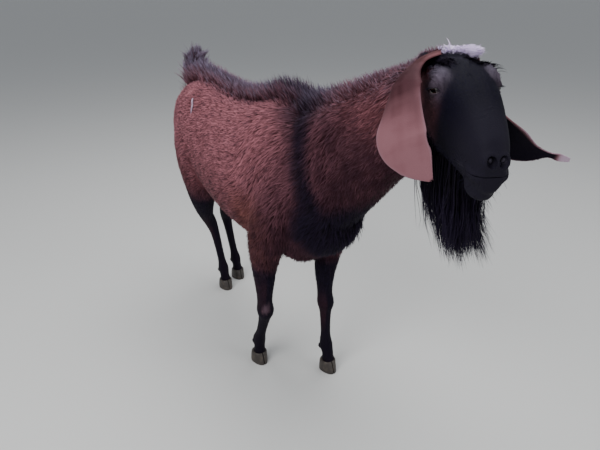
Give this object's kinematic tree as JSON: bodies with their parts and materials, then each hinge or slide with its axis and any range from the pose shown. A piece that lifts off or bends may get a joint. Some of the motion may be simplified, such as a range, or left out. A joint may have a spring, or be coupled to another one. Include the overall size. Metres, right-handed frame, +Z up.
{
  "type": "nubian goat",
  "caption": "Life-size standing Nubian-type goat with head turned right, long hanging ears, beard, raised back hair and erect tail.",
  "frame": {"origin": "on the floor under the middle of the goat's box, between its feet", "axes": "+X forward along the body, +Y to the goat's left, +Z up"},
  "size_m": [1.4716, 0.4048, 1.0643],
  "materials": {
    "body_coat": "mahogany goat hair, lying flat",
    "dark_coat": "black goat hair",
    "ear_skin": "short smooth tan hair over thin skin",
    "eye": "wet glossy eye",
    "hoof": "dull dark horn"
  },
  "bodies": {
    "root": {"torso": "body_coat", "neck": "body_coat", "head": "dark_coat", "tail": "dark_coat", "right_ear": "ear_skin", "left_ear": "ear_skin", "right_eye": "eye", "left_eye": "eye", "right_foreleg": "dark_coat", "left_foreleg": "dark_coat", "right_hindleg": "dark_coat", "left_hindleg": "dark_coat", "right_fore_hoof": "hoof", "left_fore_hoof": "hoof", "right_hind_hoof": "hoof", "left_hind_hoof": "hoof"}
  },
  "joints": []
}
